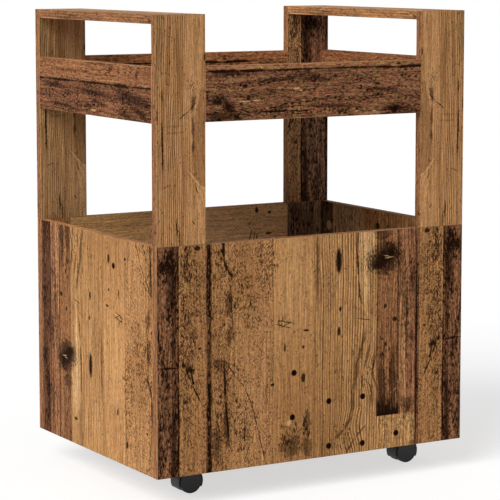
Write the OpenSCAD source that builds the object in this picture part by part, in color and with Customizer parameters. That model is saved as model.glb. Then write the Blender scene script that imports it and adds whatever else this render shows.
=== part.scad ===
// Kitchen cart: an open bin on four twin-wheel casters, four uprights that stand on the bin,
// a shallow tray between them and two flat handle rails across their tops.
// The origin is on the floor under the middle of the cart. The front faces -Y and +Z is up.

/* [Overall] */
// Width of the cart from side to side
cart_w = 600; // [540:5:760]
// Depth of the cart from front to back
cart_d = 450; // [400:5:560]
// Height from the floor to the tops of the uprights
cart_h = 800; // [770:5:900]

/* [Boards] */
// Thickness of every board
board_t = 15; // [15:1:18]
// Width of the small bevel along every edge of a board
edge_break = 0.5; // [0.2:0.1:1]

/* [Bin] */
// Height of the bin's four walls
bin_h = 378; // [300:1:400]

/* [Uprights and handle rails] */
// Width of an upright
upright_w = 90; // [80:1:120]
// Width of a handle rail
rail_w = 90; // [80:1:120]

/* [Tray] */
// Height of the boards round the tray
tray_board_h = 90; // [80:1:100]
// Clear height for the hand between the tray and the handle rails
hand_gap = 68; // [50:1:100]

/* [Cam fittings] */
// Diameter of a cam
cam_d = 15; // [14:0.5:16]
// Depth of a cam in the face of its board
cam_depth = 12; // [11:0.5:13]
// Distance from the end of a board to the centre of its cam
cam_back = 30; // [24:1:36]
// Diameter of the head of a cam bolt
bolt_head_d = 7; // [6.5:0.1:7.2]
// Diameter of the neck behind the head
bolt_neck_d = 3.2; // [2.8:0.1:3.6]
// Diameter of the plain shank
bolt_shank_d = 6; // [5.5:0.1:6.5]
// Diameter of the thread that is screwed into the mating board
bolt_thread_d = 5; // [4:0.1:6]
// Length of that thread
bolt_thread_l = 11; // [9:0.5:12]
// Diameter of the bore that the shank runs through
shank_bore_d = 8; // [7.4:0.1:8.5]
// Diameter of the cover cap over a cam
cap_d = 18; // [17:0.5:20]
// Thickness of the cover cap
cap_t = 0.4; // [0.2:0.1:0.8]
// Clearance round cams, dowels, threads and axles
fit = 0.05; // [0.02:0.01:0.1]

/* [Dowels] */
// Diameter of a wood dowel
dowel_d = 8; // [6:0.5:8]
// Length of a wood dowel
dowel_l = 30; // [26:1:34]
// Part of a dowel that stands in the mating board
dowel_seat = 10; // [8:1:11]
// Bevel at the ends of a dowel
dowel_bevel = 0.8; // [0.4:0.1:1.2]

/* [Places of the fittings] */
// Distance from the top and the lower edge of a side panel to its cams
wall_cam_edge = 44; // [36:1:60]
// Distance from the top and the lower edge of a side panel to its dowels
wall_dowel_edge = 110; // [80:1:130]
// Distance between the two dowels at the end of a narrow board
end_dowel_gap = 50; // [44:1:56]
// Distance from the corner of a floor panel to its cams
floor_cam_edge = 130; // [120:1:160]
// Distance from the corner of a floor panel to its dowels
floor_dowel_edge = 96; // [90:1:104]

/* [Casters] */
// Height from the floor to the underside of the bin
caster_h = 52; // [51:1:56]
// Diameter of a wheel
wheel_d = 40; // [37:1:41]
// Width of one wheel
wheel_w = 10; // [9:0.5:12]
// Gap between the two wheels of a caster
wheel_gap = 12; // [11.8:0.2:14]
// Distance from the swivel axis back to the axle
trail = 22; // [20:1:23]
// Distance from the cart's side to the swivel axis
caster_from_side = 82; // [74:1:100]
// Distance from the cart's front or back to the swivel axis
caster_from_front = 92; // [80:1:110]
// Width of the hood over the wheels
hood_w = 28; // [24:1:30]
// Thickness of the hood's wall
hood_wall = 2; // [1.6:0.1:2.4]
// Gap between the treads and the hood
hood_gap = 1.3; // [0.8:0.1:1.8]
// Angle that the hood reaches below the axle at each end
hood_reach = 29; // [10:1:35]
// Side clearance between the hood's web and each wheel
web_gap = 0.5; // [0.3:0.1:0.8]
// Diameter of the boss that turns on the swivel pin
boss_d = 13.5; // [13:0.1:13.8]
// Diameter of the axle
axle_d = 5; // [4:0.5:6]

/* [Caster plates] */
// Width of the square mounting plate
plate_w = 38; // [37:1:44]
// Thickness of the mounting plate
plate_t = 2; // [1.5:0.1:2.5]
// Radius of the plate's corners
plate_corner = 4; // [2:0.5:5]
// Distance between neighbouring screw holes
screw_pitch = 28; // [26:0.5:29]
// Diameter of a screw hole in the plate
screw_hole_d = 4.2; // [4:0.1:4.6]
// Diameter of the swivel pin
pin_d = 8; // [7:0.5:8]
// Length of the swivel pin below the plate
pin_l = 21; // [19:1:22]
// Diameter of the pin's riveted head
pin_head_d = 11; // [10:0.5:12]
// Free play between the plate and the turning hood
swivel_gap = 0.4; // [0.3:0.1:0.6]
// Thickness of the spring ring that keeps the hood on its pin
ring_t = 1.2; // [0.8:0.1:1.4]
// Distance from the pin's lower end to the spring ring
ring_up = 5; // [4:0.5:7]

/* [Caster screws] */
// Diameter of a screw's thread
screw_d = 3.5; // [3:0.1:3.9]
// Length of a screw under its head
screw_l = 13; // [10:0.5:14]
// Diameter of a screw's head
screw_head_d = 7; // [6:0.1:7.4]
// Height of a screw's head
screw_head_h = 2; // [1.5:0.1:2.2]

/* [Hidden] */
$fn = 64;

cut = 1;                              // how far a cut runs past the face that it opens
probe = 1;                            // step used to tell which board a fitting enters
hole_spare = 0.5;                     // a blind hole is this much deeper than what it holds

bin_z0 = caster_h;
bin_z1 = caster_h + bin_h;
rail_z0 = cart_h - board_t;
tray_z1 = rail_z0 - hand_gap;
tray_z0 = tray_z1 - tray_board_h;
out_x = cart_w / 2;
out_y = cart_d / 2;
in_x = out_x - board_t;
in_y = out_y - board_t;
upright_x = out_x - upright_w;        // inner edge of an upright
half_t = board_t / 2;

wood = "#a9794b";
wood_dark = "#6e4a30";
beech = "#d9b384";
zinc = "#a8abae";
steel = "#8f9498";
black_plastic = "#2b2d2e";
cap_brown = "#4a3426";

// Boards, each as its lowest and its highest corner
function slab(x, y, z) = [[x[0], y[0], z[0]], [x[1], y[1], z[1]]];
function span(side, a, b) = side < 0 ? [-b, -a] : [a, b];

function end_wall_box(side) = slab([-out_x, out_x], span(side, in_y, out_y), [bin_z0, bin_z1]);
function side_wall_box(side) = slab(span(side, in_x, out_x), [-in_y, in_y], [bin_z0, bin_z1]);
function upright_box(sx, sy) = slab(span(sx, upright_x, out_x), span(sy, in_y, out_y), [bin_z1, cart_h]);
function rail_box(side) = slab(span(side, out_x - rail_w, out_x), [-in_y, in_y], [rail_z0, cart_h]);
function tray_end_box(side) = slab([-upright_x, upright_x], span(side, in_y, out_y), [tray_z0, tray_z1]);
function tray_side_box(side) = slab(span(side, in_x, out_x), [-in_y, in_y], [tray_z0, tray_z1]);
function floor_box(z) = slab([-in_x, in_x], [-in_y, in_y], [z, z + board_t]);

// A fitting is [point on the joint, way into the board that holds the cam, way that the cam faces, capped].
// A floor panel is held along all four edges.
function floor_fittings(z, edge) = concat(
    [for (sx = [-1, 1], sy = [-1, 1])
        [[sx * (in_x - edge), sy * in_y, z], [0, -sy, 0], [0, 0, -1], false]],
    [for (sx = [-1, 1], sy = [-1, 1])
        [[sx * in_x, sy * (in_y - edge), z], [-sx, 0, 0], [0, 0, -1], false]]);
function wall_fittings(edge) =
    [for (sx = [-1, 1], sy = [-1, 1], z = [bin_z0 + edge, bin_z1 - edge])
        [[sx * (in_x + half_t), sy * in_y, z], [0, -sy, 0], [-sx, 0, 0], true]];
function upright_fittings(shift) =
    [for (sx = [-1, 1], sy = [-1, 1])
        [[sx * (out_x - upright_w / 2) + shift, sy * (in_y + half_t), bin_z1], [0, 0, -1], [0, -sy, 0], true]];
function rail_fittings(shift) =
    [for (sx = [-1, 1], sy = [-1, 1])
        [[sx * (out_x - rail_w / 2) + shift, sy * in_y, rail_z0 + half_t], [0, -sy, 0], [0, 0, -1], true]];
function tray_fittings(shift) = concat(
    [for (sx = [-1, 1], sy = [-1, 1])
        [[sx * (in_x + half_t), sy * in_y, (tray_z0 + tray_z1) / 2 + shift], [0, -sy, 0], [-sx, 0, 0], true]],
    [for (sx = [-1, 1], sy = [-1, 1])
        [[sx * upright_x, sy * (in_y + half_t), (tray_z0 + tray_z1) / 2 + shift], [-sx, 0, 0], [0, -sy, 0], true]]);

CAMS = concat(
    floor_fittings(bin_z0 + half_t, floor_cam_edge),
    floor_fittings(tray_z0 + half_t, floor_cam_edge),
    wall_fittings(wall_cam_edge),
    upright_fittings(0),
    rail_fittings(0),
    tray_fittings(0));
DOWELS = concat(
    floor_fittings(bin_z0 + half_t, floor_dowel_edge),
    floor_fittings(tray_z0 + half_t, floor_dowel_edge),
    wall_fittings(wall_dowel_edge),
    [for (s = [-1, 1], f = upright_fittings(s * end_dowel_gap / 2)) f],
    [for (s = [-1, 1], f = rail_fittings(s * end_dowel_gap / 2)) f],
    [for (s = [-1, 1], f = tray_fittings(s * end_dowel_gap / 2)) f]);

// Casters: every wheel trails towards +X, as the cart was pushed
axle_z = wheel_d / 2;
wheel_y = wheel_gap / 2;
hood_in_r = wheel_d / 2 + hood_gap;
hood_out_r = hood_in_r + hood_wall;
web_half = wheel_y - web_gap;
boss_top = caster_h - plate_t - swivel_gap;
pin_z0 = caster_h - plate_t - pin_l;
boss_floor = 1.5;
boss_z0 = pin_z0 - hole_spare - boss_floor;
ring_z = pin_z0 + ring_up;
ring_groove = 0.6;                    // depth of the ring's groove in the pin
ring_play = 0.2;                      // play round the ring in the boss
ring_r0 = pin_d / 2 - ring_groove;
ring_r1 = ring_r0 + ring_t;
ring_open = 50;                       // angle of the gap in the ring
web_drop = 7;                         // how far the web hangs below the axle
axle_end = wheel_y + wheel_w - 1.6;   // the axle stops inside the wheels' outer walls

// Outline of a rectangle with its four corners cut off
module eased_rect(w, h) {
    e = edge_break;
    polygon([[e, 0], [w - e, 0], [w, e], [w, h - e], [w - e, h], [e, h], [0, h - e], [0, e]]);
}

// A plain board with a small bevel along all its edges
module eased_box(box) {
    s = box[1] - box[0];
    translate(box[0]) intersection() {
        linear_extrude(s.z) eased_rect(s.x, s.y);
        translate([0, s.y, 0]) rotate([90, 0, 0]) linear_extrude(s.y) eased_rect(s.x, s.z);
        rotate([90, 0, 90]) linear_extrude(s.x) eased_rect(s.y, s.z);
    }
}

// Puts a fitting's own frame in place: +X runs into the board with the cam, +Z is the way the cam faces
module at(f) {
    x = f[1];
    z = f[2];
    y = cross(z, x);
    translate(f[0]) multmatrix([[x.x, y.x, z.x, 0], [x.y, y.y, z.y, 0], [x.z, y.z, z.z, 0]]) children();
}

function inside(p, box) =
    p.x > box[0].x && p.x < box[1].x && p.y > box[0].y && p.y < box[1].y && p.z > box[0].z && p.z < box[1].z;
function enters(f, box) = inside(f[0] + probe * f[1], box);
function leaves(f, box) = inside(f[0] - probe * f[1], box);

// Round bar along +X from x0 to x1
module bar(d, x0, x1) {
    translate([x0, 0, 0]) rotate([0, 90, 0]) cylinder(d = d, h = x1 - x0);
}

module cam_seat_cut() {
    translate([cam_back, 0, half_t - cam_depth]) cylinder(d = cam_d + 2 * fit, h = cam_depth + cut);
    bar(shank_bore_d, -cut, cam_back);
}

module thread_cut() {
    bar(bolt_thread_d + 2 * fit, -bolt_thread_l - hole_spare, cut);
}

module dowel_cut() {
    bar(dowel_d + 2 * fit, -dowel_seat - hole_spare, dowel_l - dowel_seat + hole_spare);
}

// A board with the holes of every fitting that ends in it
module board(box) {
    difference() {
        eased_box(box);
        for (f = CAMS) {
            if (enters(f, box)) at(f) cam_seat_cut();
            if (leaves(f, box)) at(f) thread_cut();
        }
        for (f = DOWELS) if (enters(f, box) || leaves(f, box)) at(f) dowel_cut();
    }
}

module front_panel() { color(wood) board(end_wall_box(-1)); }
module back_panel() { color(wood) board(end_wall_box(1)); }
module left_side_panel() { color(wood) board(side_wall_box(-1)); }
module right_side_panel() { color(wood) board(side_wall_box(1)); }

// The casters are screwed to the underside of this panel
module bottom_panel() {
    color(wood_dark) difference() {
        board(floor_box(bin_z0));
        for (sx = [-1, 1], sy = [-1, 1], p = screw_places(sx, sy)) {
            translate([p.x, p.y, bin_z0 - cut])
                cylinder(d = screw_d + 2 * fit, h = cut + screw_l - plate_t + hole_spare);
        }
    }
}

module front_left_upright() { color(wood) board(upright_box(-1, -1)); }
module front_right_upright() { color(wood) board(upright_box(1, -1)); }
module back_left_upright() { color(wood) board(upright_box(-1, 1)); }
module back_right_upright() { color(wood) board(upright_box(1, 1)); }
module left_handle_rail() { color(wood) board(rail_box(-1)); }
module right_handle_rail() { color(wood) board(rail_box(1)); }
module tray_front_board() { color(wood_dark) board(tray_end_box(-1)); }
module tray_back_board() { color(wood_dark) board(tray_end_box(1)); }
module tray_left_board() { color(wood_dark) board(tray_side_box(-1)); }
module tray_right_board() { color(wood_dark) board(tray_side_box(1)); }
module tray_floor() { color(wood_dark) board(floor_box(tray_z0)); }

head_back = 2.5;                      // the bolt's head starts this far before the cam's centre
head_l = 3.5;                         // length of the bolt's head
neck_l = 4;                           // length of the bolt's neck
claw_play = 0.4;                      // play of the head and the neck in the cam

// A cam: a short drum with a claw that draws the bolt's head in, and a cross for the screwdriver
module cam() {
    cross_l = 8;
    cross_w = 1.6;
    cross_depth = 2.5;
    z0 = half_t - cam_depth;
    translate([cam_back, 0, 0]) difference() {
        translate([0, 0, z0]) cylinder(d = cam_d, h = cam_depth);
        bar(bolt_head_d + 2 * claw_play, -head_back - claw_play, head_l - head_back + claw_play);
        translate([-head_back - claw_play, -bolt_head_d / 2 - claw_play, z0 - cut])
            cube([head_l + 2 * claw_play, bolt_head_d + 2 * claw_play, -z0 + cut]);
        bar(bolt_neck_d + 2 * claw_play, -cam_d, 0);
        translate([-cam_d, -bolt_neck_d / 2 - claw_play, z0 - cut])
            cube([cam_d, bolt_neck_d + 2 * claw_play, -z0 + cut]);
        for (a = [0, 90]) rotate(a)
            translate([-cross_l / 2, -cross_w / 2, half_t - cross_depth]) cube([cross_l, cross_w, cross_depth + cut]);
    }
}

// A cam bolt: thread in the mating board, shank, neck and round head in the cam
module cam_bolt() {
    head_x = cam_back - head_back;
    neck_x = min(head_x - neck_l, cam_back - cam_d / 2 - fit);
    rotate([0, 90, 0]) rotate_extrude() polygon([
        [0, -bolt_thread_l], [bolt_thread_d / 2, -bolt_thread_l], [bolt_thread_d / 2, 0],
        [bolt_shank_d / 2, 0], [bolt_shank_d / 2, neck_x], [bolt_neck_d / 2, neck_x],
        [bolt_neck_d / 2, head_x], [bolt_head_d / 2, head_x], [bolt_head_d / 2, head_x + head_l],
        [0, head_x + head_l]]);
}

module cover_cap() {
    rim = cap_t / 2;
    translate([cam_back, 0, half_t]) rotate_extrude() polygon([
        [0, 0], [cap_d / 2, 0], [cap_d / 2, cap_t - rim], [cap_d / 2 - rim, cap_t], [0, cap_t]]);
}

module dowel() {
    b = dowel_bevel;
    r = dowel_d / 2;
    translate([-dowel_seat, 0, 0]) rotate([0, 90, 0]) rotate_extrude()
        polygon([[0, 0], [r - b, 0], [r, b], [r, dowel_l - b], [r - b, dowel_l], [0, dowel_l]]);
}

module cams() { color(zinc) for (f = CAMS) at(f) cam(); }
module cam_bolts() { color(steel) for (f = CAMS) at(f) cam_bolt(); }
module cam_cover_caps() { color(cap_brown) for (f = CAMS) if (f[3]) at(f) cover_cap(); }
module wood_dowels() { color(beech) for (f = DOWELS) at(f) dowel(); }

// Swivel axes of the casters, and the four screws round each
function caster_place(sx, sy) = [sx * (out_x - caster_from_side), sy * (out_y - caster_from_front), 0];
function screw_places(sx, sy) =
    [for (i = [-1, 1], j = [-1, 1]) caster_place(sx, sy) + [i * screw_pitch / 2, j * screw_pitch / 2, 0]];

// A pan-head wood screw that stands with its point up in the bottom panel
module screw() {
    cross_l = 3.6;
    cross_w = 0.9;
    cross_depth = 1.1;
    point = 3;
    under = caster_h - plate_t;
    dome = screw_head_h / 3;
    r = screw_d / 2;
    hr = screw_head_d / 2;
    difference() {
        translate([0, 0, under]) rotate_extrude() polygon([
            [0, -screw_head_h], [hr - dome, -screw_head_h], [hr, -screw_head_h + dome], [hr, 0],
            [r, 0], [r, screw_l - point], [r / 4, screw_l], [0, screw_l]]);
        for (a = [0, 90]) rotate(a) translate([-cross_l / 2, -cross_w / 2, under - screw_head_h - cut])
            cube([cross_l, cross_w, cross_depth + cut]);
    }
}

module caster_screws() {
    color(steel) for (sx = [-1, 1], sy = [-1, 1], p = screw_places(sx, sy)) translate(p) screw();
}

// Square with round corners, centred
module round_square(w, r) {
    square([w - 2 * r, w], center = true);
    square([w, w - 2 * r], center = true);
    for (i = [-1, 1], j = [-1, 1]) translate([i * (w / 2 - r), j * (w / 2 - r)]) circle(r = r);
}

pin_head_h = 1.5;

module caster_plate(sx, sy) {
    color(steel) translate(caster_place(sx, sy)) translate([0, 0, caster_h - plate_t]) difference() {
        linear_extrude(plate_t) round_square(plate_w, plate_corner);
        translate([0, 0, -cut]) cylinder(d = pin_d + 2 * fit, h = plate_t + 2 * cut);
        translate([0, 0, plate_t - pin_head_h])
            cylinder(d1 = pin_d + 2 * fit, d2 = pin_head_d + 2 * fit, h = pin_head_h);
        translate([0, 0, plate_t - fit]) cylinder(d = pin_head_d + 2 * fit, h = cut);
        for (i = [-1, 1], j = [-1, 1]) translate([i * screw_pitch / 2, j * screw_pitch / 2, -cut])
            cylinder(d = screw_hole_d, h = plate_t + 2 * cut);
    }
}

// The pin hangs from its flush head in the plate; its groove holds the spring ring
module swivel_pin(sx, sy) {
    r = pin_d / 2;
    hr = pin_head_d / 2;
    top = caster_h - fit;
    groove = ring_t / 2 + fit;
    lead = 1;
    color(steel) translate(caster_place(sx, sy)) rotate_extrude() polygon([
        [0, pin_z0], [r - lead, pin_z0], [r, pin_z0 + lead],
        [r, ring_z - groove], [ring_r0 - fit, ring_z - groove], [ring_r0 - fit, ring_z + groove], [r, ring_z + groove],
        [r, caster_h - pin_head_h], [hr, top], [0, top]]);
}

module pin_ring(sx, sy) {
    color(zinc) translate(caster_place(sx, sy)) rotate([0, 0, ring_open / 2]) rotate_extrude(angle = 360 - ring_open)
        translate([ring_r0, ring_z - ring_t / 2]) square([ring_r1 - ring_r0, ring_t]);
}

// Side view of the hood's curved wall over the wheels, drawn round the axle
module hood_arch() {
    far = 2 * hood_out_r;
    difference() {
        circle(r = hood_out_r);
        circle(r = hood_in_r);
        polygon([[0, 0], far * [cos(hood_reach), -sin(hood_reach)], [far, -far], [-far, -far],
            far * [-cos(hood_reach), -sin(hood_reach)]]);
    }
}

// Side view of the web between the wheels: round the axle, and forward to the swivel boss
module hood_web() {
    join = hood_in_r + hood_wall / 2;
    difference() {
        circle(r = join);
        translate([-2 * join, -web_drop - 2 * join]) square([4 * join, 2 * join]);
    }
    polygon([[-trail, boss_z0 - axle_z], [-trail, boss_top - axle_z], [boss_d / 2 - trail, boss_top - axle_z],
        [0, join], [0, 0]]);
}

module caster_hood(sx, sy) {
    color(black_plastic) translate(caster_place(sx, sy)) difference() {
        union() {
            translate([trail, hood_w / 2, axle_z]) rotate([90, 0, 0]) linear_extrude(hood_w) hood_arch();
            translate([trail, web_half, axle_z]) rotate([90, 0, 0]) linear_extrude(2 * web_half) hood_web();
            translate([0, 0, boss_z0]) cylinder(d = boss_d, h = boss_top - boss_z0);
        }
        translate([0, 0, pin_z0 - hole_spare]) cylinder(d = pin_d + 2 * fit, h = caster_h);
        translate([0, 0, ring_z - ring_t / 2 - ring_play])
            cylinder(r = ring_r1 + ring_play, h = ring_t + 2 * ring_play);
        translate([trail, 0, axle_z]) rotate([90, 0, 0]) cylinder(d = axle_d + 2 * fit, h = hood_w, center = true);
    }
}

module axle(sx, sy) {
    bevel = 0.4;
    r = axle_d / 2;
    color(steel) translate(caster_place(sx, sy) + [trail, 0, axle_z]) rotate([90, 0, 0]) rotate_extrude() polygon([
        [0, -axle_end], [r - bevel, -axle_end], [r, bevel - axle_end],
        [r, axle_end - bevel], [r - bevel, axle_end], [0, axle_end]]);
}

// Points of a quarter circle from angle a, for a round edge
function quarter(centre, r, a) = [for (i = [0:5]) centre + r * [cos(a + 18 * i), sin(a + 18 * i)]];

// Half section of a wheel: radius, and distance outwards from its inner side
module wheel_section() {
    r = wheel_d / 2;
    round_r = 1.5;                    // round edges of the tread
    tread_t = 3.5;
    wall_t = 2.6;                     // outer wall of the wheel
    dish = 0.6;                       // shallow dish inside the rim of the outer face
    rim_t = 2.2;
    hub_r = axle_d / 2 + 3;
    bore_end = axle_end - wheel_y + hole_spare;
    bore_r = axle_d / 2 + fit;
    polygon(concat(
        [[bore_r, 0], [hub_r, 0], [hub_r, wheel_w - wall_t], [r - tread_t, wheel_w - wall_t], [r - tread_t, 0]],
        quarter([r - round_r, round_r], round_r, -90),
        quarter([r - round_r, wheel_w - round_r], round_r, 0),
        [[r - rim_t, wheel_w], [r - rim_t - dish, wheel_w - dish], [0, wheel_w - dish],
            [0, bore_end], [bore_r, bore_end]]));
}

// One wheel; way is -1 for the wheel on the front side of its caster and 1 for the one behind
module wheel(sx, sy, way) {
    color(black_plastic) translate(caster_place(sx, sy) + [trail, way * wheel_y, axle_z])
        rotate([way < 0 ? 90 : -90, 0, 0]) rotate_extrude() wheel_section();
}

module front_left_caster_plate() { caster_plate(-1, -1); }
module front_left_swivel_pin() { swivel_pin(-1, -1); }
module front_left_pin_ring() { pin_ring(-1, -1); }
module front_left_caster_hood() { caster_hood(-1, -1); }
module front_left_axle() { axle(-1, -1); }
module front_left_outer_wheel() { wheel(-1, -1, -1); }
module front_left_inner_wheel() { wheel(-1, -1, 1); }

module front_right_caster_plate() { caster_plate(1, -1); }
module front_right_swivel_pin() { swivel_pin(1, -1); }
module front_right_pin_ring() { pin_ring(1, -1); }
module front_right_caster_hood() { caster_hood(1, -1); }
module front_right_axle() { axle(1, -1); }
module front_right_outer_wheel() { wheel(1, -1, -1); }
module front_right_inner_wheel() { wheel(1, -1, 1); }

module back_left_caster_plate() { caster_plate(-1, 1); }
module back_left_swivel_pin() { swivel_pin(-1, 1); }
module back_left_pin_ring() { pin_ring(-1, 1); }
module back_left_caster_hood() { caster_hood(-1, 1); }
module back_left_axle() { axle(-1, 1); }
module back_left_outer_wheel() { wheel(-1, 1, 1); }
module back_left_inner_wheel() { wheel(-1, 1, -1); }

module back_right_caster_plate() { caster_plate(1, 1); }
module back_right_swivel_pin() { swivel_pin(1, 1); }
module back_right_pin_ring() { pin_ring(1, 1); }
module back_right_caster_hood() { caster_hood(1, 1); }
module back_right_axle() { axle(1, 1); }
module back_right_outer_wheel() { wheel(1, 1, 1); }
module back_right_inner_wheel() { wheel(1, 1, -1); }

front_panel();
back_panel();
left_side_panel();
right_side_panel();
bottom_panel();
front_left_upright();
front_right_upright();
back_left_upright();
back_right_upright();
left_handle_rail();
right_handle_rail();
tray_front_board();
tray_back_board();
tray_left_board();
tray_right_board();
tray_floor();
cams();
cam_bolts();
cam_cover_caps();
wood_dowels();
caster_screws();
front_left_caster_plate();
front_left_swivel_pin();
front_left_pin_ring();
front_left_caster_hood();
front_left_axle();
front_left_outer_wheel();
front_left_inner_wheel();
front_right_caster_plate();
front_right_swivel_pin();
front_right_pin_ring();
front_right_caster_hood();
front_right_axle();
front_right_outer_wheel();
front_right_inner_wheel();
back_left_caster_plate();
back_left_swivel_pin();
back_left_pin_ring();
back_left_caster_hood();
back_left_axle();
back_left_outer_wheel();
back_left_inner_wheel();
back_right_caster_plate();
back_right_swivel_pin();
back_right_pin_ring();
back_right_caster_hood();
back_right_axle();
back_right_outer_wheel();
back_right_inner_wheel();
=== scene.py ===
# %% [markdown]
# # A kitchen cart in an old-wood laminate
# The cart is a flat-pack trolley of 15 mm chipboard. Every board carries a printed paper that shows
# reclaimed planks, sealed under melamine. Its shape is already exact, so this lesson is about the finish:
# printed sheets that are laid over many boards, as the factory lays them, and a few plain materials for
# the casters and fittings.

# %% Load the cart
from math import atan2, cos, degrees, hypot, radians, sin
import bpy
from mathutils import Matrix, Vector


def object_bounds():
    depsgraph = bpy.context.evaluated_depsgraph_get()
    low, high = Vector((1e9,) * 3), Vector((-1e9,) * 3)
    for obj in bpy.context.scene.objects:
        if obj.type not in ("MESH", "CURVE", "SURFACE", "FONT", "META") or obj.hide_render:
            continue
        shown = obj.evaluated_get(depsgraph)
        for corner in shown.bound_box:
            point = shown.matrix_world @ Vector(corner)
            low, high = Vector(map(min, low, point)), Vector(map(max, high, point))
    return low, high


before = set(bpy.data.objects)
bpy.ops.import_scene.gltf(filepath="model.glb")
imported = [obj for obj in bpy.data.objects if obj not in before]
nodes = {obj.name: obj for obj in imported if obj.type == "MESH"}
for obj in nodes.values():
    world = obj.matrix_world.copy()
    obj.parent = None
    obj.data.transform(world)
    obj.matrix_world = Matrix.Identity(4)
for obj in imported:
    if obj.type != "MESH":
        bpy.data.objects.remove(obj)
cad_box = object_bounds()
mm = 0.001
print(len(nodes), "pieces, box in mm:", [[round(c / mm, 1) for c in corner] for corner in cad_box])

# %% [markdown]
# ## The camera
# The picture was taken from the front left, a little above the rails and from far away, with a long lens.
# The uprights stay nearly parallel in it. A view camera would do that with a large shift of its lens. Here
# the camera looks slightly down instead and only a small shift is left, so that the cart also stays in
# the middle when it is seen from another side.

# %% Camera
heading = radians(30.444)
pitch = radians(-6.459)

scene = bpy.context.scene
camera_data = bpy.data.cameras.new("camera")
camera_data.sensor_width = 36
camera_data.lens = 153.57
camera_data.shift_y = -0.1
camera_data.clip_end = 50
camera = bpy.data.objects.new("camera", camera_data)
scene.collection.objects.link(camera)
scene.camera = camera
camera.location = Vector((-1878, -3204, 888)) * mm
looks_along = Vector((sin(heading) * cos(pitch), cos(heading) * cos(pitch), sin(pitch)))
camera.rotation_euler = looks_along.to_track_quat("-Z", "Y").to_euler()
print("camera", round(camera.location.length, 2), "m from the cart's foot, lens", camera_data.lens, "mm")

# %% [markdown]
# ## Three helpers
# Colours are written as the hex values that a colour picker shows, and Blender wants linear light, so one
# function converts them. Another starts an empty material. The third adds a node, sets it up and links it,
# which keeps each material readable as a short list of steps.

# %% Colour and node helpers
def hex_colour(text):
    """Linear RGBA of an sRGB hex value such as '#a9794b'."""
    parts = [int(text[i:i + 2], 16) / 255 for i in (1, 3, 5)]
    return (*[c / 12.92 if c <= 0.04045 else ((c + 0.055) / 1.055) ** 2.4 for c in parts], 1)


def fresh_material(name):
    """A material with an empty node tree."""
    material = bpy.data.materials.new(name)
    material.use_nodes = True
    material.node_tree.nodes.clear()
    return material, material.node_tree


def put(tree, kind, sockets=None, out=None, **settings):
    """Adds a node with its settings and links. Gives back the output named by out, or else its first one."""
    node = tree.nodes.new("ShaderNode" + kind)
    for name, value in settings.items():
        setattr(node, name, value)
    for key, value in (sockets or {}).items():
        named = [s for s in node.inputs if s.enabled and s.name == key]
        socket = named[0] if named else node.inputs[key]
        if isinstance(value, bpy.types.NodeSocket):
            tree.links.new(value, socket)
        else:
            socket.default_value = value
    if not node.outputs:
        return node
    return node.outputs[out] if out else next(s for s in node.outputs if s.enabled)


# %% [markdown]
# ## The studio
# A plain white sweep with soft, even light. The left side gets about half as much light again as the front.
# The lamp is a wide sun, because its light doesn't fall off across a cart that is 60 cm wide. White behind
# the cart is painted for the camera and for reflections alone, so that it adds no light to the wood.

# %% World, lamp and floor
SKY_LEVEL = 0.3
BACKDROP_WHITE = 1.0
SUN_LEVEL = 2.7
SUN_SPREAD = 40
SUN_FROM = (-0.60, -0.26, 0.52)
FLOOR_LIFT = 0.63
FLOOR_MATT = "#f0f0f0"
FLOOR_BEHIND = "#b4b4b4"


def plain_white_seen(tree):
    """1 for the rays that show the backdrop itself: straight from the camera, mirrored or let through."""
    ray = tree.nodes.new("ShaderNodeLightPath").outputs
    seen = put(tree, "Math", {0: ray["Is Camera Ray"], 1: ray["Is Glossy Ray"]}, operation="MAXIMUM")
    return put(tree, "Math", {0: seen, 1: ray["Is Transmission Ray"]}, operation="MAXIMUM")


scene.view_settings.view_transform = "Standard"
world = bpy.data.worlds.new("studio")
scene.world = world
world.use_nodes = True
sky = world.node_tree
sky.nodes.clear()
strength = put(sky, "MapRange", {"Value": plain_white_seen(sky), "To Min": SKY_LEVEL,
                                 "To Max": BACKDROP_WHITE})
light = put(sky, "Background", {"Color": (1, 1, 1, 1), "Strength": strength})
put(sky, "OutputWorld", {"Surface": light})

sun_data = bpy.data.lights.new("softbox", "SUN")
sun_data.energy = SUN_LEVEL
sun_data.angle = radians(SUN_SPREAD)
sun = bpy.data.objects.new("softbox", sun_data)
scene.collection.objects.link(sun)
sun.rotation_euler = Vector(SUN_FROM).to_track_quat("Z", "Y").to_euler()

bpy.ops.mesh.primitive_plane_add(size=30)
floor = bpy.context.object
floor.name = "floor"
paper, sweep = fresh_material("white_paper_sweep")
matt = put(sweep, "BsdfDiffuse", {"Color": hex_colour(FLOOR_MATT)})
shadowed = put(sweep, "BsdfDiffuse", {"Color": hex_colour(FLOOR_BEHIND)})
lift = put(sweep, "Emission", {"Color": (1, 1, 1, 1), "Strength": FLOOR_LIFT})
lifted = put(sweep, "AddShader", {0: shadowed, 1: lift})
surface = put(sweep, "MixShader", {0: plain_white_seen(sweep), 1: matt, 2: lifted})
put(sweep, "OutputMaterial", {"Surface": surface})
floor.data.materials.append(paper)
print("sky", SKY_LEVEL, "and sun", SUN_LEVEL, "over a", paper.name)

# %% [markdown]
# ## How printed old wood is built up
# The print shows planks of pine that were weathered, scratched and nailed. Seen closely it has five things
# on top of each plank's own tone: a slow drift of the tone, straight ridges of late wood, small flecks,
# larger dark stains, and single marks such as nail holes and cracks. All are measured on the real cart in
# millimetres, so every pattern works on a place in millimetres: s across the planks, t along them.

# %% Patterns measured in millimetres
JOINT_HALF_MM = 0.6


def from_box(tree, place, middle, width, length, turn=0):
    """The place as a box of width by length mm sees it, which stands at middle, turned by some degrees."""
    return put(tree, "Mapping", {"Vector": place, "Location": middle, "Scale": (width, length, 1),
                                 "Rotation": (0, 0, radians(turn))}, vector_type="TEXTURE")


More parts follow.
